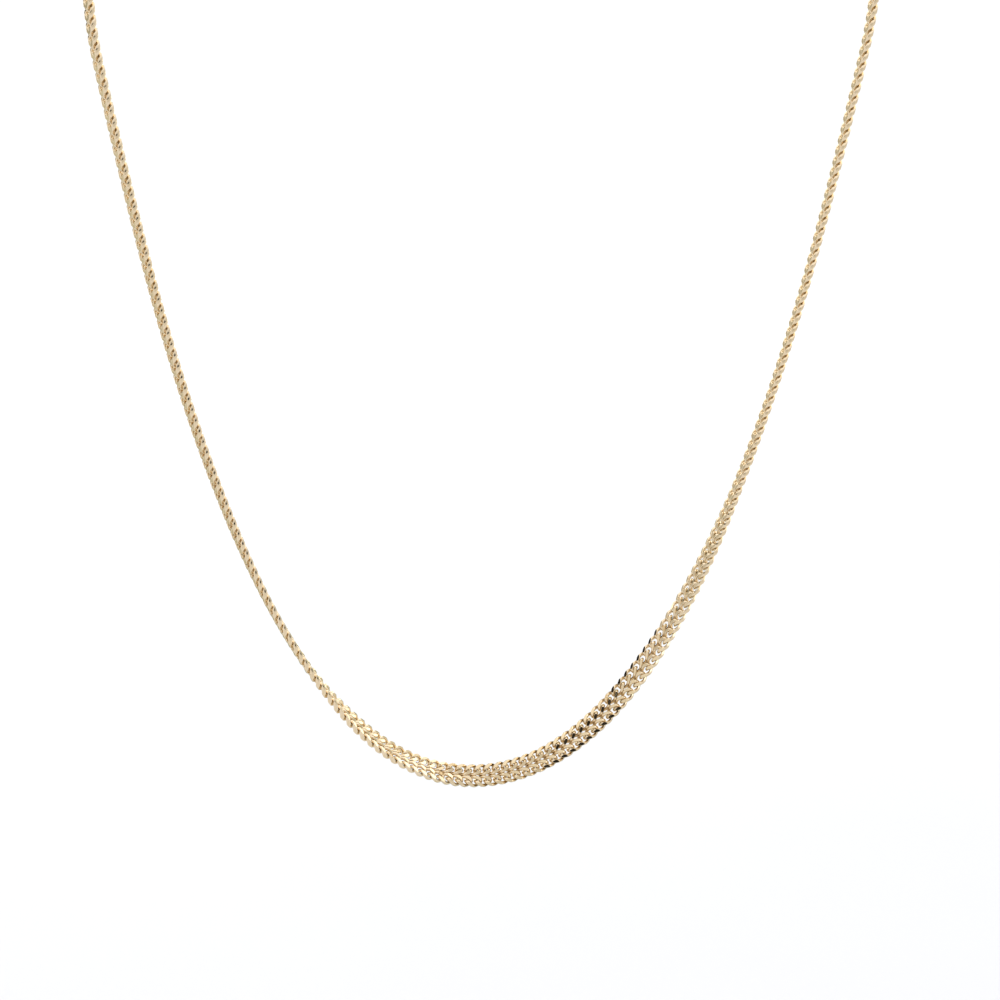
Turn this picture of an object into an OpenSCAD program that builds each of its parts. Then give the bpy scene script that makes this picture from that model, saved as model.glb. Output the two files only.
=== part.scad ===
/* [Chain] */
// Length of the whole loop along its middle line, in mm
loop_length = 450; // [420:5:600]
// Width of the flat chain, over both rows of links
chain_width = 3.4; // [2.8:0.1:4]
// Thickness of the flat chain
chain_thickness = 1.05; // [0.8:0.05:1.3]
// Depth of the groove between the two rows, on each face
row_groove = 0.2; // [0.05:0.05:0.3]
// Distance between two rings of the chain's skin
ring_spacing = 4; // [3:0.5:6]

/* [Clasp] */
// Length of the clasp along the chain
clasp_length = 14; // [12:1:18]
// Width of the clasp, front to back
clasp_width = 4.8; // [4.6:0.1:6]
// Thickness of the clasp, from the neck outwards
clasp_thickness = 2.4; // [2.2:0.1:3]
// Radius of the clasp's long edges
clasp_edge = 0.7; // [0.3:0.1:0.9]
// Depth of the socket that takes each end of the chain
socket_depth = 4; // [3:0.5:5]
// Distance from each end of the clasp to its turned line
line_setback = 4.6; // [3.5:0.1:5.5]
// Depth and half width of the two turned lines
line_depth = 0.15; // [0.1:0.05:0.2]

/* [Clearances] */
// Clear space round the chain in a socket
socket_gap = 0.2; // [0.1:0.05:0.3]
// Clear space between an end of the chain and the bottom of its socket
end_gap = 0.3; // [0.2:0.05:0.4]

/* [Hidden] */
$fn = 48;

// How one half of the loop lies, from its lowest point up to where the plain
// arch over the nape begins. The middle line lies in the XZ plane. Between two
// rows it is a circular arc, and the face of the band turns evenly.
// Columns: distance along the loop, heading above level, turn of the band's
// face from facing forward (0) to facing the middle of the loop (90), on the
// right half and on the left half.
LAY = [
    [0,   0,    26,  26],
    [5,   12.9, 29,  40],
    [10,  24.9, 33,  54],
    [15,  34.9, 39,  61],
    [20,  43.1, 44,  65],
    [25,  49,   52,  70],
    [30,  53.5, 63,  79],
    [35,  57.4, 71,  86],
    [40,  60.6, 78,  89],
    [50,  65.9, 90,  90],
    [60,  69.5, 102, 93],
    [75,  72.9, 108, 94],
    [100, 77.4, 108, 93],
    [127, 79.1, 108, 91]
];
DIST = 0;
HEAD = 1;
RIGHT = 2;
LEFT = 3;
nape_turn = 90;

// Half of the band's section, from its outer edge to its inner edge over one face.
// Columns: place across the width, height above the middle, as shares of the
// chain's width and thickness, and share of the groove's depth taken off there.
SECTION = [
    [0.50,  0.22, 0],
    [0.38,  0.50, 0],
    [0.14,  0.50, 0],
    [0,     0.50, 1],
    [-0.14, 0.50, 0],
    [-0.38, 0.50, 0],
    [-0.50, 0.22, 0]
];

// End of a circular arc that starts at a point with one heading and ends with another
function arc_end(start, head_a, head_b, run) =
    let (r = run / (head_b - head_a) * 180 / PI)
    start + r * [sin(head_b) - sin(head_a), cos(head_a) - cos(head_b)];

last = len(LAY) - 1;
// Where each row of LAY lies, as seen from the front
KNOT = [
    for (i = 0, p = [0, 0];
         i <= last;
         p = i < last ? arc_end(p, LAY[i][HEAD], LAY[i + 1][HEAD], LAY[i + 1][DIST] - LAY[i][DIST]) : p,
         i = i + 1) p
];

// The nape arch is one circle, with its middle above the lowest point of the loop
arch_head = LAY[last][HEAD];
lay_radius = KNOT[last].x / sin(arch_head);
lay_arch = lay_radius * (180 - arch_head) * PI / 180;
lay_half = LAY[last][DIST] + lay_arch;
lay_height = KNOT[last].y + lay_radius * (1 + cos(arch_head));

// The lay is scaled to the length of the loop, and hung with the clasp's inner face at z = 0
loop_scale = loop_length / 2 / lay_half;
nape_radius = lay_radius * loop_scale;
top_z = clasp_thickness / 2;
bottom_z = top_z - lay_height * loop_scale;

HEADINGS = concat([for (row = LAY) [row[DIST], row[HEAD]]], [[lay_half, 180]]);
function turns(column) = concat([for (row = LAY) [row[DIST], row[column]]], [[lay_half, nape_turn]]);
TURNS_RIGHT = turns(RIGHT);
TURNS_LEFT = turns(LEFT);

// Number of the row of LAY that a distance lies after
function row_before(d, i = last) = i == 0 || d >= LAY[i][DIST] ? i : row_before(d, i - 1);

// Point of the middle line in one half, before scaling, as seen from the front
function lay_point(d) =
    let (i = row_before(d), run = d - LAY[i][DIST])
    run == 0 ? KNOT[i] : arc_end(KNOT[i], LAY[i][HEAD], lookup(d, HEADINGS), run);

// One ring of the band's skin, a signed distance from the lowest point, right being positive
function ring(s) =
    let (
        side = s < 0 ? -1 : 1,
        d = abs(s) / loop_scale,
        p = lay_point(d) * loop_scale,
        head = side * lookup(d, HEADINGS),
        turn = lookup(d, s < 0 ? TURNS_LEFT : TURNS_RIGHT),
        middle = [side * p.x, 0, bottom_z + p.y],
        inward = [-sin(head), 0, cos(head)],
        face = [0, -cos(turn), 0] + inward * sin(turn),
        edge = [0, -sin(turn), 0] - inward * cos(turn)
    )
    [for (q = section_points()) middle + edge * q.x + face * q.y];

function section_points() = concat(
    [for (q = SECTION) [q[0] * chain_width, q[1] * chain_thickness - q[2] * row_groove]],
    [for (i = [len(SECTION) - 1:-1:0])
        [SECTION[i][0] * chain_width, SECTION[i][2] * row_groove - SECTION[i][1] * chain_thickness]]
);

// Mean of a list of points
function middle_of(points) = [for (k = [0:2]) [for (p = points) p[k]] * [for (p = points) 1] / len(points)];

// The chain as one solid: both rows of links, from one socket of the clasp to the other
module chain() {
    end_s = loop_length / 2 - clasp_length / 2 + socket_depth - end_gap;
    steps = ceil(2 * end_s / ring_spacing);
    rings = [for (i = [0:steps]) ring(end_s * (2 * i / steps - 1))];
    n = len(rings[0]);
    first_cap = n * (steps + 1);
    last_cap = first_cap + 1;
    points = concat(
        [for (r = rings) each r],
        [middle_of(rings[0]), middle_of(rings[steps])]
    );
    sides = [
        for (i = [0:steps - 1], k = [0:n - 1])
        let (a = i * n + k, b = i * n + (k + 1) % n)
        each [[a, b, b + n], [a, b + n, a + n]]
    ];
    caps = [
        for (k = [0:n - 1])
        let (b = (k + 1) % n)
        each [[first_cap, b, k], [last_cap, steps * n + k, steps * n + b]]
    ];
    color("gold")
    polyhedron(points, concat(sides, caps));
}

// A rectangle with round corners, centred
module rounded_bar(width, height, edge) {
    square([width - 2 * edge, height], center = true);
    square([width, height - 2 * edge], center = true);
    for (x = [-1, 1], y = [-1, 1])
        translate([x * (width / 2 - edge), y * (height / 2 - edge)])
        circle(edge);
}

// A shape swept along the nape arch, over a run that starts a signed distance from its top
module along_nape(start, run) {
    translate([0, 0, top_z - nape_radius])
    rotate([90, 0, 0])
    rotate([0, 0, 90 + start / nape_radius * 180 / PI])
    rotate_extrude(angle = run / nape_radius * 180 / PI, $fn = 360)
    translate([nape_radius, 0])
    children();
}

// The space that takes one end of the chain, open past the clasp's end
module socket(side) {
    past_end = 0.5;
    along_nape(side < 0 ? -clasp_length / 2 - past_end : clasp_length / 2 - socket_depth,
               socket_depth + past_end)
    square([chain_thickness, chain_width] + [1, 1] * 2 * socket_gap, center = true);
}

// A turned line round the clasp, near one end
module turned_line(side) {
    along_nape(side * (clasp_length / 2 - line_setback) - line_depth, 2 * line_depth)
    difference() {
        square([clasp_thickness, clasp_width] * 2, center = true);
        rounded_bar(clasp_thickness - 2 * line_depth, clasp_width - 2 * line_depth, clasp_edge - line_depth);
    }
}

// The clasp: one plain closed bar that follows the nape, with a socket in each end
module clasp() {
    color("goldenrod")
    difference() {
        along_nape(-clasp_length / 2, clasp_length)
        rounded_bar(clasp_thickness, clasp_width, clasp_edge);
        for (side = [-1, 1]) {
            socket(side);
            turned_line(side);
        }
    }
}

chain();
clasp();
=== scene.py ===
"""Herringbone chain necklace: two soldered rows of pressed curb links, a clasp and a plain studio.

Lengths are in metres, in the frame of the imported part. The origin is the middle of the clasp's
inner face, X runs from left to right, Y runs away from the front, and Z points up.
"""
import math

import bmesh
import bpy
import numpy as np
from bpy.props import FloatProperty, FloatVectorProperty, IntProperty, PointerProperty
from bpy.types import Operator, Panel, PropertyGroup
from mathutils import Matrix, Vector


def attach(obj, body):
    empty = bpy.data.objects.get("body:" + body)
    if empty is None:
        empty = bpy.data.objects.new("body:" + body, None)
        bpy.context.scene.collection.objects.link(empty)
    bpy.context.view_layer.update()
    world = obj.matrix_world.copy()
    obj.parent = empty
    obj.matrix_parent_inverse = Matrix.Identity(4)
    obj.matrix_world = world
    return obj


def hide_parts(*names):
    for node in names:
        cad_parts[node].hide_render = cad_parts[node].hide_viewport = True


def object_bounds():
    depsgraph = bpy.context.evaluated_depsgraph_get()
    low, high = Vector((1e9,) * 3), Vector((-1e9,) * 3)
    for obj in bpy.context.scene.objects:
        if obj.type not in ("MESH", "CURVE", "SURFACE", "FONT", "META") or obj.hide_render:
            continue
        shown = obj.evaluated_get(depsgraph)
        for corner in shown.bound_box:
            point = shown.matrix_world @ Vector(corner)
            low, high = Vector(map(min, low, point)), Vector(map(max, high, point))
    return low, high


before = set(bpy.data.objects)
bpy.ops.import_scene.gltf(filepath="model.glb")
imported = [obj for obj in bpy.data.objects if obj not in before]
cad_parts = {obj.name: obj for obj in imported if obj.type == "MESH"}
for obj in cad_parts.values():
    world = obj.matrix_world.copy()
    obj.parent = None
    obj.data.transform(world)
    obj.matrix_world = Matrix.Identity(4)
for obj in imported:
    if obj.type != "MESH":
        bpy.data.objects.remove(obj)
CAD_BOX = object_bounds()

bl_info = {
    "name": "Herringbone chain necklace",
    "version": (1, 0, 0),
    "blender": (4, 5, 0),
    "location": "3D View > Sidebar > Necklace",
    "description": "Builds a herringbone chain necklace of soldered curb links, with its clasp and studio",
    "category": "Add Mesh",
}

MM = 0.001

# How one half of the loop lies, from its lowest point to where the plain arch over the nape
# begins, before it is scaled to the loop's length. Columns: distance along the loop in mm,
# heading above level, and turn of the band's face from facing forward (0) to facing the middle
# of the loop (90), on the right half and on the left half, in degrees.
LAY = np.array([
    (0, 0, 26, 26),
    (5, 12.9, 29, 40),
    (10, 24.9, 33, 54),
    (15, 34.9, 39, 61),
    (20, 43.1, 44, 65),
    (25, 49, 52, 70),
    (30, 53.5, 63, 79),
    (35, 57.4, 71, 86),
    (40, 60.6, 78, 89),
    (50, 65.9, 90, 90),
    (60, 69.5, 102, 93),
    (75, 72.9, 108, 94),
    (100, 77.4, 108, 93),
    (127, 79.1, 108, 91),
])
DISTANCE, HEADING, TURN_RIGHT, TURN_LEFT = range(4)
TOP_HEADING = 180
TOP_TURN = 90

# How flat the wire runs over the four high places of a link: 0 is a plain sine wave
TOP_FLATNESS = 0.4
# Small angle round a link over which the wire's direction is taken
SMALL_TURN = 0.001
# How closely the edge spread and the edge fill keep to the crown of a link, and the end swell to
# its ends, as powers of a sine or cosine
SPREAD_POWER = 4
FILL_POWER = 2
SWELL_POWER = 8
# Cosines of the angles round the wire, from its outer side, at which the edge press has faded out
# and at which it is full
PRESS_FADED = -0.1
PRESS_FULL = 0.5
# Share of the facet lean that the outer row's facets keep beside the solder
LEAN_AT_SOLDER = 0.5
# Distance from a cutting plane, in mm, within which a point counts as lying on it
ON_PLANE = 1e-6
# A pressed facet has more corners than this, and its normal leans less than this along the chain
FACET_CORNERS = 6
FACET_NORMAL_X = 0.05
# Faces that meet at more than this angle keep a crisp edge
CRISP_ANGLE = math.radians(42)
# Number of places along the chain at which the spacing of the links is added up
SPACING_PLACES = 2001
# The joined meshes that the links are shared out to, from left to right
CHAIN_PIECES = ("links_left", "links_front", "links_right")

# Range that holds nearly all values of a noise
NOISE_RANGE = (0.3, 0.7)
# Noises in the gold, in waves per metre: slow drift of its colour, grain of the polish, scratches
DRIFT_SCALE = 420
GRAIN_SCALE = 2600
SCRATCH_SCALE = 9000
# Patches of better and worse polish on a plain piece of gold, in waves per metre, and the range of
# their polish, where 1 is as good as a pressed facet's
WEAR_SCALE = 150
WEAR_RANGE = (0.35, 0.85)
# How far the drift, the paler round wire (painted light that lifts the shade in the gaps between links; on
# the clasp, its patches of worse polish) and the grain move the gold's colour from pressed to wire
DRIFT_SHARE = 0.45
WIRE_AND_PAINTED_LIGHT_SHARE = 0.5
GRAIN_SHARE = 0.1
# How far the grain lowers and raises the gold's roughness
GRAIN_ROUGHNESS = (-0.03, 0.05)
# Shares of the grain and of the scratches in the gold's relief, and the depth of that relief
GRAIN_RELIEF = 0.6
SCRATCH_RELIEF = 0.4
RELIEF_DEPTH = 0.00003
# Tint of the gold at grazing angles, which keeps the rims of the wire from turning white
GRAZING_TINT = (0.40, 0.43, 0.33, 1)

FLOOR_SIZE = 1.4
# Clouds and tooth of the floor's paper, in waves per metre
CLOUD_SCALE = 9
TOOTH_SCALE = 900
# Shade of the clouds as a share of the floor's colour
CLOUD_SHADE = 0.985
# Roughness of the paper, and strength and depth of its tooth
PAPER_ROUGHNESS = (0.75, 0.9)
PAPER_TOOTH = (0.05, 0.0002)
# Nap of the black cards, in waves per metre, and its two colours
NAP_SCALE = 60
CARD_DARK = (0.002, 0.0015, 0.001)
CARD_PALE = (0.006, 0.005, 0.004)
# Roughness of the cards, and strength and depth of their nap
CARD_ROUGHNESS = (0.85, 0.95)
CARD_NAP = (0.05, 0.0005)


# Sizes and colours that a user would change


class ChainSizes(PropertyGroup):
    """Sizes of the links and of the loop that they make"""

    loop_length: FloatProperty(
        name="Loop length", description="Length of the whole loop along its middle line",
        default=0.450, min=0.40, max=0.60, subtype="DISTANCE", unit="LENGTH")
    width: FloatProperty(
        name="Chain width", description="Width over both rows of links",
        default=0.0034, min=0.0028, max=0.004, precision=5, subtype="DISTANCE", unit="LENGTH")
    thickness: FloatProperty(
        name="Chain thickness", description="Thickness of the chain over its pressed faces",
        default=0.00105, min=0.0008, max=0.0013, precision=5, subtype="DISTANCE", unit="LENGTH")
    links: IntProperty(
        name="Links in a row", description="Number of links in each of the two rows",
        default=277, min=200, max=400)
    slack: FloatProperty(
        name="Slack", description="How much closer the links sit where the chain hangs slack",
        default=0.08, min=0, max=0.12, subtype="FACTOR")
    slack_middle: FloatProperty(
        name="Slack place", description="Where the links sit closest, along the chain from its lowest point",
        default=0.004, min=-0.05, max=0.05, precision=4, subtype="DISTANCE", unit="LENGTH")
    slack_reach: FloatProperty(
        name="Slack reach", description="Distance along the chain over which the slack fades",
        default=0.025, min=0.01, max=0.1, precision=4, subtype="DISTANCE", unit="LENGTH")
    wire: FloatProperty(
        name="Wire", description="Thickness of the round wire that a link is bent from",
        default=0.0005, min=0.0003, max=0.0006, precision=5, subtype="DISTANCE", unit="LENGTH")
    link_length: FloatProperty(
        name="Link length", description="Length of one link over its wire, before its ends are swelled",
        default=0.00264, min=0.0022, max=0.0032, precision=5, subtype="DISTANCE", unit="LENGTH")
    twist: FloatProperty(
        name="Link twist", description="How far the wire rises and falls round a link from its middle",
        default=0.00041, min=0.0002, max=0.0005, precision=5, subtype="DISTANCE", unit="LENGTH")
    end_turn: FloatProperty(
        name="End turn", description="Turn of each end of a link about its length, opposite ways",
        default=math.radians(46), min=0, max=math.radians(70), subtype="ANGLE", unit="ROTATION")
    edge_press: FloatProperty(
        name="Edge press", description="Depth that is pressed flat along the chain's two edges",
        default=0.00003, min=0.00001, max=0.0002, precision=5, subtype="DISTANCE", unit="LENGTH")
    edge_spread: FloatProperty(
        name="Edge spread", description="How far the press spreads the wire along the chain's edges",
        default=0.0001, min=0, max=0.0003, precision=5, subtype="DISTANCE", unit="LENGTH")
    edge_fill: FloatProperty(
        name="Edge fill", description="How far the press fills the gaps along the chain's edges",
        default=0.00019, min=0, max=0.0003, precision=5, subtype="DISTANCE", unit="LENGTH")
    end_swell: FloatProperty(
        name="End swell", description="How far the ends of a link are thickened along the chain",
        default=0.00011, min=0, max=0.00015, precision=5, subtype="DISTANCE", unit="LENGTH")
    solder: FloatProperty(
        name="Soldered depth", description="How far the two links of a soldered pair run into each other",
        default=0.0001, min=0.00002, max=0.0002, precision=5, subtype="DISTANCE", unit="LENGTH")
    facet_lean: FloatProperty(
        name="Facet lean", description="Lean of the pressed facets away from the middle of their row",
        default=math.radians(12), min=0, max=math.radians(25), subtype="ANGLE", unit="ROTATION")
    facet_tilt: FloatProperty(
        name="Facet tilt", description="Tilt of the facets along the chain, opposite in the two rows",
        default=math.radians(1.3), min=0, max=math.radians(10), subtype="ANGLE", unit="ROTATION")
    steps_round: IntProperty(
        name="Steps round a link", description="Number of wire sections in one link",
        default=32, min=16, max=48)
    steps_wire: IntProperty(
        name="Steps round the wire", description="Number of corners in one wire section",
        default=12, min=8, max=16)


class ClaspSizes(PropertyGroup):
    """Sizes of the clasp that the chain's ends fit"""

    length: FloatProperty(
        name="Clasp length", description="Length of the clasp along the chain",
        default=0.014, min=0.012, max=0.018, precision=4, subtype="DISTANCE", unit="LENGTH")
    thickness: FloatProperty(
        name="Clasp thickness", description="Thickness of the clasp from the neck outwards",
        default=0.0024, min=0.0022, max=0.003, precision=5, subtype="DISTANCE", unit="LENGTH")
    socket_depth: FloatProperty(
        name="Socket depth", description="Depth of the socket that takes each end of the chain",
        default=0.004, min=0.003, max=0.005, precision=5, subtype="DISTANCE", unit="LENGTH")
    end_gap: FloatProperty(
        name="End gap", description="Clear space between the last link and the bottom of its socket",
        default=0.0003, min=0.0002, max=0.0006, precision=5, subtype="DISTANCE", unit="LENGTH")


class GoldFinish(PropertyGroup):
    """Colours and polish of the gold"""

    pressed_gold: FloatVectorProperty(
        name="Pressed gold", description="Colour of the pressed facets",
        default=(0.76, 0.61, 0.385), min=0, max=1, subtype="COLOR")
    # Paler, greyer gold on the round wire: painted light that lifts the shade in the gaps between links
    wire_and_painted_light_gold: FloatVectorProperty(
        name="Wire gold", description="Colour that the round wire beside the facets tends to",
        default=(0.83, 0.68, 0.485), min=0, max=1, subtype="COLOR")
    polish: FloatProperty(
        name="Polished roughness", description="Roughness of the pressed facets",
        default=0.06, min=0.02, max=0.5, subtype="FACTOR")
    drawn: FloatProperty(
        name="Wire roughness", description="Roughness of the round sides of the wire",
        default=0.16, min=0.05, max=0.6, subtype="FACTOR")
    scratch: FloatProperty(
        name="Fine scratches", description="Strength of the fine scratches and dents in the polish",
        default=0.12, min=0, max=1, subtype="FACTOR")


class StudioSetup(PropertyGroup):
    """Floor, light and camera"""

    floor_drop: FloatProperty(
        name="Floor drop", description="Height of the lowest link above the floor",
        default=0.060, min=0.01, max=0.5, subtype="DISTANCE", unit="LENGTH")
    floor_colour: FloatVectorProperty(
        name="Floor colour", description="Colour of the pale floor",
        default=(0.70, 0.705, 0.72), min=0, max=1, subtype="COLOR")
    tent_front: FloatProperty(
        name="Tent in front", description="Brightness of the white tent in front of the necklace",
        default=0.8, min=0, max=5)
    tent_behind: FloatProperty(
        name="Tent behind", description="Brightness of the white tent behind the necklace",
        default=1.05, min=0, max=5)
    tent_top: FloatProperty(
        name="Tent top", description="Brightness that the roof adds to the tent",
        default=0.45, min=0, max=5)
    tent_window: FloatProperty(
        name="Window", description="Brightness that the window side, on the right, adds to the tent",
        default=1.4, min=0, max=5)
    tent_left: FloatProperty(
        name="Left side", description="Brightness that the left side adds to the tent",
        default=0.2, min=0, max=5)
    tent_shade: FloatProperty(
        name="Shaded side", description="Brightness that the shaded side, behind on the left, takes away",
        default=0.35, min=0, max=1)
    softbox_power: FloatProperty(
        name="Softbox power", description="Power of the softbox behind the necklace",
        default=2.65, min=0, max=100, unit="POWER")
    camera_distance: FloatProperty(
        name="Camera distance", description="Distance from the camera to the point that it aims at",
        default=0.3329, min=0.1, max=5, subtype="DISTANCE", unit="LENGTH")
    camera_azimuth: FloatProperty(
        name="Camera azimuth", description="Turn of the camera to the left of the necklace's front",
        default=math.radians(18.54), subtype="ANGLE", unit="ROTATION")
    camera_elevation: FloatProperty(
        name="Camera elevation", description="Height of the camera above level",
        default=math.radians(17.25), subtype="ANGLE", unit="ROTATION")
    camera_roll: FloatProperty(
        name="Camera roll", description="Turn of the camera about its own line of sight",
        default=math.radians(1.02), subtype="ANGLE", unit="ROTATION")
    aim: FloatVectorProperty(
        name="Aim", description="Point that the camera aims at",
        default=(0.00085, 0, -0.12857), subtype="XYZ", unit="LENGTH")
    lens: FloatProperty(
        name="Lens", description="Focal length of the camera on a frame 36 mm wide",
        default=83.02, min=10, max=300, unit="CAMERA")


# The path of the band


def arc_end(start, head_a, head_b, run):
    """End of a circular arc that starts at a point with one heading and ends with another."""
    radius = run / (head_b - head_a)
    step = [math.sin(head_b) - math.sin(head_a), math.cos(head_a) - math.cos(head_b)]
    return start + radius * np.array(step)


class BandPath:
    """Where the middle line of the flat chain lies, and which way its face looks."""

    def __init__(self, chain, clasp):
        heads = np.radians(LAY[:, HEADING])
        runs = np.diff(LAY[:, DISTANCE])
        knots = [np.zeros(2)]
        for i, run in enumerate(runs):
            knots.append(arc_end(knots[-1], heads[i], heads[i + 1], run))
        arch_radius = knots[-1][0] / math.sin(heads[-1])
        half = LAY[-1, DISTANCE] + arch_radius * (math.pi - heads[-1])
        height = knots[-1][1] + arch_radius * (1 + math.cos(heads[-1]))
        self.knots = np.array(knots)
        self.heads = heads
        self.radii = np.append(runs / np.diff(heads), arch_radius)
        self.rows = np.append(LAY[:, DISTANCE], half)
        self.scale = chain.loop_length / 2 / half
        self.bottom = clasp.thickness / 2 - height * self.scale

    def _column(self, column, top, along):
        """A column of LAY at signed distances, with the value that it has at the top of the loop."""
        values = np.append(LAY[:, column], top)
        return np.radians(np.interp(np.abs(along) / self.scale, self.rows, values))

    def place(self, along, across, out):
        """Points on the band: along it from its lowest point, right being positive, towards its
        outer edge from its middle line, and out of its face."""
        side = np.where(along < 0, -1.0, 1.0)
        head = self._column(HEADING, TOP_HEADING, along)
        after = np.searchsorted(self.rows, np.abs(along) / self.scale, side="right")
        row = np.clip(after - 1, 0, len(LAY) - 1)
        start = self.heads[row]
        x = self.knots[row, 0] + self.radii[row] * (np.sin(head) - np.sin(start))
        z = self.knots[row, 1] + self.radii[row] * (np.cos(start) - np.cos(head))
        turn_right = self._column(TURN_RIGHT, TOP_TURN, along)
        turn_left = self._column(TURN_LEFT, TOP_TURN, along)
        turn = np.where(along < 0, turn_left, turn_right)
        inward = np.stack([-np.sin(head) * side, 0 * head, np.cos(head)], 1)
        front = np.array([0.0, -1.0, 0.0])
        cos_turn, sin_turn = np.cos(turn)[:, None], np.sin(turn)[:, None]
        face = front * cos_turn + inward * sin_turn
        edge = front * sin_turn - inward * cos_turn
        middle = np.stack([side * x * self.scale, 0 * x, self.bottom + z * self.scale], 1)
        return middle + edge * across[:, None] + face * out[:, None]


# Finishes


class NodeSheet:
    """Short words for laying out the nodes of one material."""

    def __init__(self, name):
        self.material = bpy.data.materials.new(name)
        self.material.use_nodes = True
        self.tree = self.material.node_tree
        self.shader = self.tree.nodes["Principled BSDF"]

    def node(self, kind, **settings):
        made = self.tree.nodes.new(kind)
        for key, value in settings.items():
            setattr(made, key, value)
        return made

    def join(self, output, socket):
        self.tree.links.new(output, socket)

    def give(self, output, name):
        """Feeds one of the shader's own sockets."""
        self.join(output, self.shader.inputs[name])

    def place(self):
        """Places on the object, in metres."""
        return self.node("ShaderNodeTexCoord").outputs["Object"]

    def noise(self, vector, scale, detail=3.0, roughness=0.5):
        made = self.node("ShaderNodeTexNoise")
        made.inputs["Scale"].default_value = scale
        made.inputs["Detail"].default_value = detail
        made.inputs["Roughness"].default_value = roughness
        self.join(vector, made.inputs["Vector"])
        return made.outputs["Fac"]

    def spread(self, value, span, out_low, out_high):
        """Maps a span of values to a range, and holds what lies outside at its ends."""
        made = self.node("ShaderNodeMapRange")
        made.inputs["From Min"].default_value = span[0]
        made.inputs["From Max"].default_value = span[1]
        made.inputs["To Min"].default_value = out_low
        made.inputs["To Max"].default_value = out_high
        self.join(value, made.inputs["Value"])
        return made.outputs["Result"]

    def sum(self, first, second, how="ADD"):
        made = self.node("ShaderNodeMath", operation=how)
        for socket, value in zip(made.inputs, (first, second)):
            if isinstance(value, (int, float)):
                socket.default_value = value
            else:
                self.join(value, socket)
        return made.outputs["Value"]

    def blend_colours(self, factor, first, second):
        made = self.node("ShaderNodeMix", data_type="RGBA")
        self.join(factor, made.inputs["Factor"])
        made.inputs["A"].default_value = (*first, 1)
        made.inputs["B"].default_value = (*second, 1)
        return made.outputs["Result"]

    def bump(self, height, strength, distance):
        made = self.node("ShaderNodeBump")
        made.inputs["Strength"].default_value = strength
        made.inputs["Distance"].default_value = distance
        self.join(height, made.inputs["Height"])
        self.give(made.outputs["Normal"], "Normal")


def gold_material(name, finish, facets):
    """Polished gold with colour drift, worn polish and fine scratches. It follows the mesh's own mark for
    pressed faces where the mesh has one, and paints the round wire away from them paler and greyer: painted
    light that lifts the shade in the gaps between links. Without the mark, random patches of worse polish
    take the paler colour."""
    sheet = NodeSheet(name)
    place = sheet.place()
    drift = sheet.noise(place, DRIFT_SCALE, detail=2.0)
    grain = sheet.noise(place, GRAIN_SCALE, roughness=0.6)
    scratches = sheet.noise(place, SCRATCH_SCALE, detail=2.0, roughness=0.7)
    if facets:
        pressed = sheet.node("ShaderNodeAttribute", attribute_name="pressed").outputs["Fac"]
    else:
        pressed = sheet.spread(sheet.noise(place, WEAR_SCALE, detail=1.0), NOISE_RANGE, *WEAR_RANGE)
    drift_share = sheet.spread(drift, NOISE_RANGE, 0.0, DRIFT_SHARE)
    # The round wire away from the pressed facets is painted paler, as painted light that lifts the shade in
    # the gaps between links; on the clasp this share follows random patches of worse polish
    wire_and_painted_light_share = sheet.spread(pressed, (0, 1), WIRE_AND_PAINTED_LIGHT_SHARE, 0.0)
    grain_share = sheet.spread(grain, NOISE_RANGE, -GRAIN_SHARE, GRAIN_SHARE)
    tone = sheet.sum(sheet.sum(drift_share, wire_and_painted_light_share), grain_share)
    sheet.give(sheet.blend_colours(tone, finish.pressed_gold, finish.wire_and_painted_light_gold), "Base Color")
    rough = sheet.spread(pressed, (0, 1), finish.drawn, finish.polish)
    rough = sheet.sum(rough, sheet.spread(grain, NOISE_RANGE, *GRAIN_ROUGHNESS))
    sheet.give(rough, "Roughness")
    sheet.shader.inputs["Metallic"].default_value = 1.0
    sheet.shader.inputs["Specular Tint"].default_value = GRAZING_TINT
    grain_relief = sheet.sum(grain, GRAIN_RELIEF, "MULTIPLY")
    scratch_relief = sheet.sum(scratches, SCRATCH_RELIEF, "MULTIPLY")
    sheet.bump(sheet.sum(grain_relief, scratch_relief), finish.scratch, RELIEF_DEPTH)
    return sheet.material


def floor_material(colour):
    """Pale matt paper with a faint tooth."""
    sheet = NodeSheet("pale_floor_paper")
    place = sheet.place()
    cloud = sheet.noise(place, CLOUD_SCALE)
    tooth = sheet.noise(place, TOOTH_SCALE)
    shade = [c * CLOUD_SHADE for c in colour]
    sheet.give(sheet.blend_colours(sheet.spread(cloud, NOISE_RANGE, 0, 1), colour, shade), "Base Color")
    sheet.give(sheet.spread(tooth, NOISE_RANGE, *PAPER_ROUGHNESS), "Roughness")
    sheet.bump(tooth, *PAPER_TOOTH)
    return sheet.material


def card_material():
    """Black matt card that gives the polished facets their dark glints."""
    sheet = NodeSheet("black_card")
    nap = sheet.noise(sheet.place(), NAP_SCALE)
    sheet.give(sheet.blend_colours(nap, CARD_DARK, CARD_PALE), "Base Color")
    sheet.give(sheet.spread(nap, NOISE_RANGE, *CARD_ROUGHNESS), "Roughness")
    sheet.bump(nap, *CARD_NAP)
    return sheet.material


# The links


def link_half_width(chain):
    """Half of one link's width over its wire before its edge is pressed, in mm."""
    return (chain.width / 2 + chain.solder / 2 + chain.edge_press) / MM / 2


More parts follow.
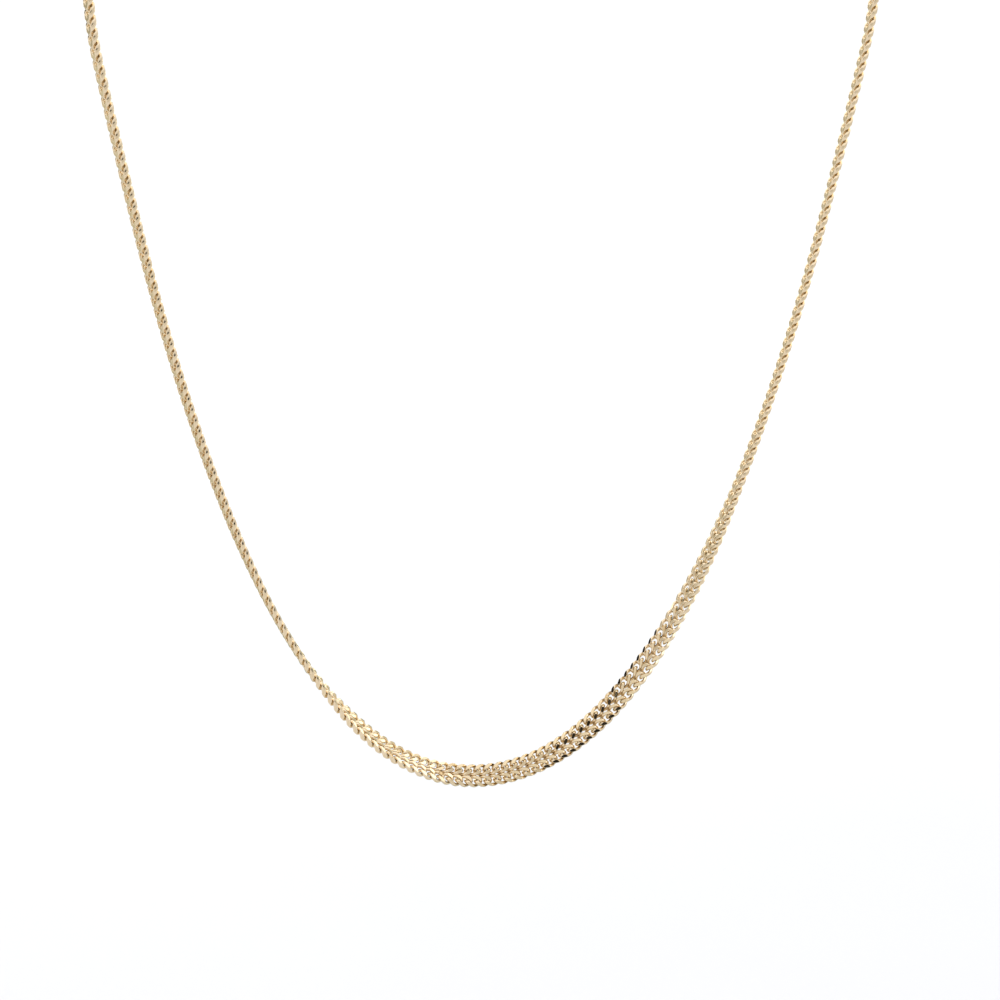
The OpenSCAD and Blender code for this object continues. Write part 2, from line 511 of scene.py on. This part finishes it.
def wire_middle(chain, hand, t):
    """Middle of a link's wire at an angle round the link, in mm: x along the row, y across it and
    z through it. The link's ends are turned about its length, and the wire rises on one diagonal of
    the oval and falls on the other."""
    half_length = (chain.link_length - chain.wire) / MM / 2
    half_width = link_half_width(chain) - chain.wire / MM / 2
    narrowing = math.cos(chain.end_turn * math.cos(t))
    rise = math.tanh(TOP_FLATNESS * math.sin(2 * t)) / math.tanh(TOP_FLATNESS)
    x = half_length * math.cos(t)
    y = half_width * math.sin(t) * narrowing
    return Vector((x, y, hand * chain.twist / MM * rise))


def wire_section(chain, hand, t):
    """Middle of the wire at an angle round the link, and its directions outwards and upwards."""
    before = wire_middle(chain, hand, t - SMALL_TURN)
    after = wire_middle(chain, hand, t + SMALL_TURN)
    ahead = (after - before).normalized()
    outward = ahead.cross(Vector((0, 0, 1))).normalized()
    return wire_middle(chain, hand, t), outward, outward.cross(ahead)


def pressed_out(chain, hand, row, t, turn):
    """How much further the edge press makes a corner of a wire section reach up or down, in mm.
    Along the outer edge of the row, it spreads the crown of the link both ways, and beside the
    crown it fills the gap towards the middle of the chain's thickness. It only does so on the
    outer side of the wire."""
    crown = max(row * math.sin(t), 0)
    rise = hand * math.sin(2 * t)
    fill = abs(rise) * crown ** FILL_POWER if rise * math.sin(turn) < 0 else 0
    outer = min(max((math.cos(turn) - PRESS_FADED) / (PRESS_FULL - PRESS_FADED), 0), 1)
    full = (chain.edge_spread * crown ** SPREAD_POWER + chain.edge_fill * fill) / MM
    return full * outer * outer * (3 - 2 * outer)


def bent_wire(chain, hand, row):
    """One closed link of wire, in mm. Its hand, 1 or -1, says on which diagonal of the oval the wire
    rises, and its row is 1 for the outer row of the chain and -1 for the inner one."""
    radius, swell = chain.wire / MM / 2, chain.end_swell / MM
    made = bmesh.new()
    sections = []
    for i in range(chain.steps_round):
        t = 2 * math.pi * i / chain.steps_round
        middle, outward, up = wire_section(chain, hand, t)
        section = []
        for k in range(chain.steps_wire):
            turn = 2 * math.pi * k / chain.steps_wire
            across, rise = math.cos(turn), math.sin(turn)
            width = radius + swell * max(across, 0) * math.cos(t) ** SWELL_POWER
            reach = radius + pressed_out(chain, hand, row, t, turn)
            section.append(made.verts.new(middle + outward * across * width + up * rise * reach))
        sections.append(section)
    for i, section in enumerate(sections):
        following = sections[(i + 1) % len(sections)]
        for k in range(chain.steps_wire):
            after = (k + 1) % chain.steps_wire
            made.faces.new((section[k], following[k], following[after], section[after]))
    bmesh.ops.recalc_face_normals(made, faces=made.faces)
    return made


def cut_flat(link, point, normal):
    """Takes off what lies past a plane, and closes the cut with a flat face."""
    cut = bmesh.ops.bisect_plane(
        link, geom=link.verts[:] + link.edges[:] + link.faces[:], dist=ON_PLANE,
        plane_co=point, plane_no=normal, clear_outer=True)
    edges = [e for e in cut["geom_cut"] if isinstance(e, bmesh.types.BMEdge)]
    bmesh.ops.edgenet_fill(link, edges=edges)


def press_facets(link, chain, hand, row):
    """Cuts the pressed facets into a link: two on each face, which lean away from the middle of
    the row, and one on the outer side of the row. The outer row's facets beside the solder lean
    less."""
    height = chain.thickness / MM / 2
    for face in (1, -1):
        for lean in (1, -1):
            point = wire_middle(chain, hand, math.atan2(lean, hand * face * lean))
            point.z = face * height
            beside_solder = (row, lean) == (1, -1)
            angle = lean * chain.facet_lean * (LEAN_AT_SOLDER if beside_solder else 1)
            normal = Vector((-row * math.tan(chain.facet_tilt), math.tan(angle), face)).normalized()
            cut_flat(link, point, normal)
    edge = link_half_width(chain) - chain.edge_press / MM
    cut_flat(link, Vector((0, row * edge, 0)), Vector((0, row, 0)))
    bmesh.ops.recalc_face_normals(link, faces=link.faces)


def placed_object(name, mesh):
    """A mesh as an object in the scene."""
    made = bpy.data.objects.new(name, mesh)
    bpy.context.scene.collection.objects.link(made)
    return made


def link_object(chain, name, hand, row):
    """One pressed link in its row, as an object of its own, in mm."""
    link = bent_wire(chain, hand, row)
    press_facets(link, chain, hand, row)
    off_middle = row * (link_half_width(chain) - chain.solder / MM / 2)
    bmesh.ops.translate(link, verts=link.verts, vec=(0, off_middle, 0))
    mesh = bpy.data.meshes.new(name)
    link.to_mesh(mesh)
    link.free()
    return placed_object(name, mesh)


def soldered_pair(chain):
    """Points and faces of an outer and an inner link soldered into one solid, in mm, and for each
    face whether it is a pressed facet."""
    outer = link_object(chain, "outer_link", -1, 1)
    inner = link_object(chain, "inner_link", 1, -1)
    solder = outer.modifiers.new("solder", "BOOLEAN")
    solder.operation = "UNION"
    solder.solver = "EXACT"
    solder.object = inner
    bpy.context.view_layer.update()
    soldered = outer.evaluated_get(bpy.context.evaluated_depsgraph_get())
    whole = bpy.data.meshes.new_from_object(soldered)
    points = np.array([v.co for v in whole.vertices])
    faces = [tuple(p.vertices) for p in whole.polygons]
    flat = [
        len(p.vertices) > FACET_CORNERS and abs(p.normal.x) < FACET_NORMAL_X
        for p in whole.polygons
    ]
    for made in (outer, inner):
        mesh = made.data
        bpy.data.objects.remove(made)
        bpy.data.meshes.remove(mesh)
    bpy.data.meshes.remove(whole)
    return points, faces, flat


def mark_facets(mesh, flat_faces, corners):
    """Marks the pressed facets on a mesh for its material, and keeps the edges round them crisp."""
    pressed = mesh.attributes.new("pressed", "FLOAT", "FACE")
    pressed.data.foreach_set("value", flat_faces.astype(np.float32))
    mesh.shade_smooth()
    mesh.set_sharp_from_angle(angle=CRISP_ANGLE)
    edge_of_corner = np.empty(len(mesh.loops), np.int32)
    mesh.loops.foreach_get("edge_index", edge_of_corner)
    sharp = np.empty(len(mesh.edges), bool)
    mesh.edges.foreach_get("use_edge_sharp", sharp)
    sharp[edge_of_corner[np.repeat(flat_faces, corners)]] = True
    mesh.edges.foreach_set("use_edge_sharp", sharp)


def chain_piece(name, path, pair, stations, material):
    """A run of soldered pairs as one joined mesh, bent along the band. The band's three directions
    are left-handed, so each face's corners are taken in reverse."""
    points, faces, flat = pair
    pairs = len(stations)
    along = (stations[:, None] + points[None, :, 0] * MM).ravel()
    across = np.tile(points[:, 1] * MM, pairs)
    out = np.tile(points[:, 2] * MM, pairs)
    placed = path.place(along, across, out)
    all_faces = [
        tuple(v + i * len(points) for v in reversed(face))
        for i in range(pairs) for face in faces
    ]
    mesh = bpy.data.meshes.new(name)
    mesh.from_pydata(placed.tolist(), [], all_faces)
    mesh.update()
    mark_facets(mesh, np.tile(np.array(flat, bool), pairs), [len(face) for face in all_faces])
    mesh.materials.append(material)
    return placed_object(name, mesh)


def link_stations(chain, last):
    """Where the middles of the links lie along the chain. They sit closer where it hangs slack."""
    along = np.linspace(-last, last, SPACING_PLACES)
    spacing = 1 - chain.slack * np.exp(-((along - chain.slack_middle) / chain.slack_reach) ** 2)
    count = np.concatenate([[0], np.cumsum((1 / spacing[1:] + 1 / spacing[:-1]) / 2)])
    return np.interp(np.linspace(0, count[-1], chain.links), count, along)


class NECKLACE_OT_links(Operator):
    """Build both rows of soldered links, from one socket of the clasp round to the other"""

    bl_idname = "necklace.build_links"
    bl_label = "Build links"

    def execute(self, context):
        chain, clasp = context.scene.necklace_chain, context.scene.necklace_clasp
        path = BandPath(chain, clasp)
        chain_end = chain.loop_length / 2 - clasp.length / 2 + clasp.socket_depth - clasp.end_gap
        stations = link_stations(chain, chain_end - chain.link_length / 2)
        pair = soldered_pair(chain)
        gold = gold_material("chain_gold", context.scene.necklace_gold, True)
        for name, part in zip(CHAIN_PIECES, np.array_split(stations, len(CHAIN_PIECES))):
            piece = chain_piece(name, path, pair, part, gold)
            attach(piece, "root")
            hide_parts("chain")
        return {"FINISHED"}


class NECKLACE_OT_clasp(Operator):
    """Give the clasp its polished gold"""

    bl_idname = "necklace.finish_clasp"
    bl_label = "Finish clasp"

    def execute(self, context):
        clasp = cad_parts["clasp"]
        clasp.data.materials.clear()
        clasp.data.materials.append(gold_material("clasp_gold", context.scene.necklace_gold, False))
        return {"FINISHED"}


# The studio

# Cosines of the angles from straight behind at which the tent behind has faded into the tent in
# front, and at which it is full
BEHIND_FADED = -0.2
BEHIND_FULL = 0.6
# Soft sides of the tent. Columns: azimuth and elevation of the side's middle in degrees, cosines of
# the angles from there at which it has faded out and at which it is full, the studio setting for
# its brightness, and whether it adds to the tent (1) or takes away (-1).
TENT_SIDES = (
    (0, 90, 0.55, 0.85, "tent_top", 1),
    (85, 20, 0.75, 0.93, "tent_window", 1),
    (-70, -5, 0.5, 0.9, "tent_left", 1),
    (-135, 6, 0.7, 0.95, "tent_shade", -1),
)
# The softbox behind, aimed at the middle of the necklace
SOFTBOX_AZIMUTH = math.radians(180)
SOFTBOX_ELEVATION = math.radians(24)
SOFTBOX_DISTANCE = 0.9
SOFTBOX_WIDTH = 1.0
SOFTBOX_HEIGHT = 0.5
# Black cards round the lowest link. Columns: name, azimuth and elevation in degrees, distance,
# width and height in metres, and roll in degrees.
CARDS = (
    ("card_front", -17.0, 20.2, 2.0, 1.5, 0.60, -14.0),
    ("card_side", -120.5, 35.0, 2.0, 1.85, 0.30, 34.0),
)
# Width of the camera's frame, in mm, and the nearest distance that it shows
FRAME_WIDTH = 36
NEAREST = 0.01


def direction(azimuth, elevation):
    """Unit vector towards a place round the necklace. Azimuth 0 is in front and grows to the right."""
    x = math.sin(azimuth) * math.cos(elevation)
    y = -math.cos(azimuth) * math.cos(elevation)
    return Vector((x, y, math.sin(elevation)))


def look_matrix(place, back, roll=0.0):
    """World matrix of something at a place that looks against back, turned about that line."""
    right = Vector((0, 0, 1)).cross(back).normalized()
    up = back.cross(right)
    turned_right = right * math.cos(roll) + up * math.sin(roll)
    turned_up = up * math.cos(roll) - right * math.sin(roll)
    return Matrix.Translation(place) @ Matrix((turned_right, turned_up, back)).transposed().to_4x4()


def flat_panel(name, width, height, material):
    """A flat rectangle that faces its own +Z."""
    half_w, half_h = width / 2, height / 2
    corners = [(-half_w, -half_h, 0), (half_w, -half_h, 0), (half_w, half_h, 0), (-half_w, half_h, 0)]
    mesh = bpy.data.meshes.new(name)
    mesh.from_pydata(corners, [], [(0, 1, 2, 3)])
    mesh.materials.append(material)
    made = placed_object(name, mesh)
    return made


def tent_world(studio):
    """White tent light that is brighter behind the necklace and brightest on its window side."""
    world = bpy.data.worlds.new("white_tent")
    world.use_nodes = True
    nodes, links = world.node_tree.nodes, world.node_tree.links
    coordinate = nodes.new("ShaderNodeTexCoord")

    def towards(place, faded, full, value_faded, value_full):
        dot = nodes.new("ShaderNodeVectorMath")
        dot.operation = "DOT_PRODUCT"
        dot.inputs[1].default_value = place
        links.new(coordinate.outputs["Generated"], dot.inputs[0])
        made = nodes.new("ShaderNodeMapRange")
        made.interpolation_type = "SMOOTHSTEP"
        made.inputs["From Min"].default_value = faded
        made.inputs["From Max"].default_value = full
        made.inputs["To Min"].default_value = value_faded
        made.inputs["To Max"].default_value = value_full
        links.new(dot.outputs["Value"], made.inputs["Value"])
        return made.outputs["Result"]

    total = towards((0, 1, 0), BEHIND_FADED, BEHIND_FULL, studio.tent_front, studio.tent_behind)
    for azimuth, elevation, faded, full, setting, sign in TENT_SIDES:
        place = direction(math.radians(azimuth), math.radians(elevation))
        added = nodes.new("ShaderNodeMath")
        added.operation = "ADD"
        links.new(total, added.inputs[0])
        links.new(towards(place, faded, full, 0, sign * getattr(studio, setting)), added.inputs[1])
        total = added.outputs["Value"]
    background = nodes["Background"]
    background.inputs["Color"].default_value = (1, 1, 1, 1)
    links.new(total, background.inputs["Strength"])
    bpy.context.scene.world = world


def back_softbox(scene, studio, middle):
    """The softbox behind the necklace, which lights the far floor and the wires' far sides."""
    light = bpy.data.lights.new("softbox_back", "AREA")
    light.shape = "RECTANGLE"
    light.size = SOFTBOX_WIDTH
    light.size_y = SOFTBOX_HEIGHT
    light.energy = studio.softbox_power
    made = bpy.data.objects.new("softbox_back", light)
    scene.collection.objects.link(made)
    back = direction(SOFTBOX_AZIMUTH, SOFTBOX_ELEVATION)
    made.matrix_world = look_matrix(middle + back * SOFTBOX_DISTANCE, back)
    made.visible_camera = False


def black_cards(lowest):
    """The black cards, which show only in reflections."""
    black = card_material()
    for name, azimuth, elevation, distance, width, height, roll in CARDS:
        card = flat_panel(name, width, height, black)
        back = direction(math.radians(azimuth), math.radians(elevation))
        card.matrix_world = look_matrix(lowest + back * distance, back, math.radians(roll))
        card.visible_camera = False
        card.visible_shadow = False
        card.visible_diffuse = False


def aimed_camera(scene, studio):
    """The camera, in front of the necklace and to its left, which looks slightly down."""
    camera = bpy.data.objects.new("camera", bpy.data.cameras.new("camera"))
    scene.collection.objects.link(camera)
    camera.data.sensor_width = FRAME_WIDTH
    camera.data.lens = studio.lens
    camera.data.clip_start = NEAREST
    back = direction(-studio.camera_azimuth, studio.camera_elevation)
    place = Vector(studio.aim) + back * studio.camera_distance
    camera.matrix_world = look_matrix(place, back, studio.camera_roll)
    scene.camera = camera


class NECKLACE_OT_studio(Operator):
    """Build the pale floor, the white tent with its softbox and cards, and the camera"""

    bl_idname = "necklace.build_studio"
    bl_label = "Build studio"

    def execute(self, context):
        scene, studio = context.scene, context.scene.necklace_studio
        scene.view_settings.view_transform = "Standard"
        low, high = CAD_BOX
        floor = flat_panel("floor", FLOOR_SIZE, FLOOR_SIZE, floor_material(studio.floor_colour))
        floor.location = (0, 0, low.z - studio.floor_drop)
        tent_world(studio)
        back_softbox(scene, studio, (low + high) / 2)
        black_cards(Vector((0, 0, low.z)))
        aimed_camera(scene, studio)
        return {"FINISHED"}


# The sidebar and the run


class NECKLACE_PT_panel(Panel):
    """The necklace's operators and sizes in the sidebar"""

    bl_idname = "NECKLACE_PT_panel"
    bl_label = "Herringbone chain necklace"
    bl_space_type = "VIEW_3D"
    bl_region_type = "UI"
    bl_category = "Necklace"

    def draw(self, context):
        for group, (_, steps) in SETTINGS.items():
            box = self.layout.box()
            for step in steps:
                box.operator(step.bl_idname)
            settings = getattr(context.scene, group)
            for name in settings.__annotations__:
                box.prop(settings, name)


# Groups of settings in the scene, each with its class and the operators that it serves
SETTINGS = {
    "necklace_chain": (ChainSizes, (NECKLACE_OT_links,)),
    "necklace_clasp": (ClaspSizes, (NECKLACE_OT_clasp,)),
    "necklace_gold": (GoldFinish, ()),
    "necklace_studio": (StudioSetup, (NECKLACE_OT_studio,)),
}
GROUPS = [group for group, _ in SETTINGS.values()]
STEPS = [step for _, steps in SETTINGS.values() for step in steps]
CLASSES = (*GROUPS, *STEPS, NECKLACE_PT_panel)


def register():
    for made in CLASSES:
        bpy.utils.register_class(made)
    for name, (group, _) in SETTINGS.items():
        setattr(bpy.types.Scene, name, PointerProperty(type=group))


def unregister():
    for name in SETTINGS:
        delattr(bpy.types.Scene, name)
    for made in reversed(CLASSES):
        bpy.utils.unregister_class(made)


def main():
    register()
    bpy.ops.necklace.build_links()
    bpy.ops.necklace.finish_clasp()
    bpy.ops.necklace.build_studio()


if __name__ == "__main__":
    main()
